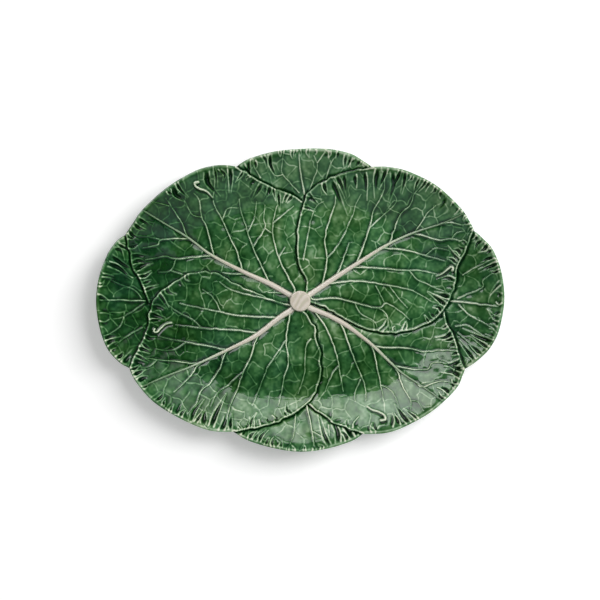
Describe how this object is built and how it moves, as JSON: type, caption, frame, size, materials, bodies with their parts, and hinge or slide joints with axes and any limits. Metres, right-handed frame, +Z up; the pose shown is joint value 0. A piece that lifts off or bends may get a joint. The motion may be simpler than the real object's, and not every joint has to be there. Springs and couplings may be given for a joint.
{
  "type": "cabbage leaf platter",
  "caption": "Shallow oval serving platter moulded as overlapping green cabbage leaves that meet at a cut stalk, with a wavy rim, pale midribs and a low foot ring.",
  "frame": {"origin": "on the table under the middle of the platter's outline, which is also under the stalk", "axes": "+X along the length, towards the right of the picture; +Y across the width, towards the top of the picture; +Z up, out of the well"},
  "size_m": [0.3752, 0.2802, 0.0342],
  "materials": {
    "green_glaze": "glossy transparent green glaze, darker in the hollows and thin on the veins",
    "cream_glaze": "glossy cream glaze",
    "bare_clay": "matt unglazed earthenware"
  },
  "bodies": {
    "root": {"large_leaf_ne": "green_glaze", "large_leaf_sw": "green_glaze", "large_leaf_nw": "green_glaze", "large_leaf_se": "green_glaze", "small_leaf_n": "green_glaze", "small_leaf_e": "green_glaze", "small_leaf_s": "green_glaze", "small_leaf_w": "green_glaze", "midrib_ne": "cream_glaze", "midrib_nw": "cream_glaze", "midrib_sw": "cream_glaze", "midrib_se": "cream_glaze", "stalk_disc": "cream_glaze", "foot_ring": "bare_clay"}
  },
  "joints": []
}
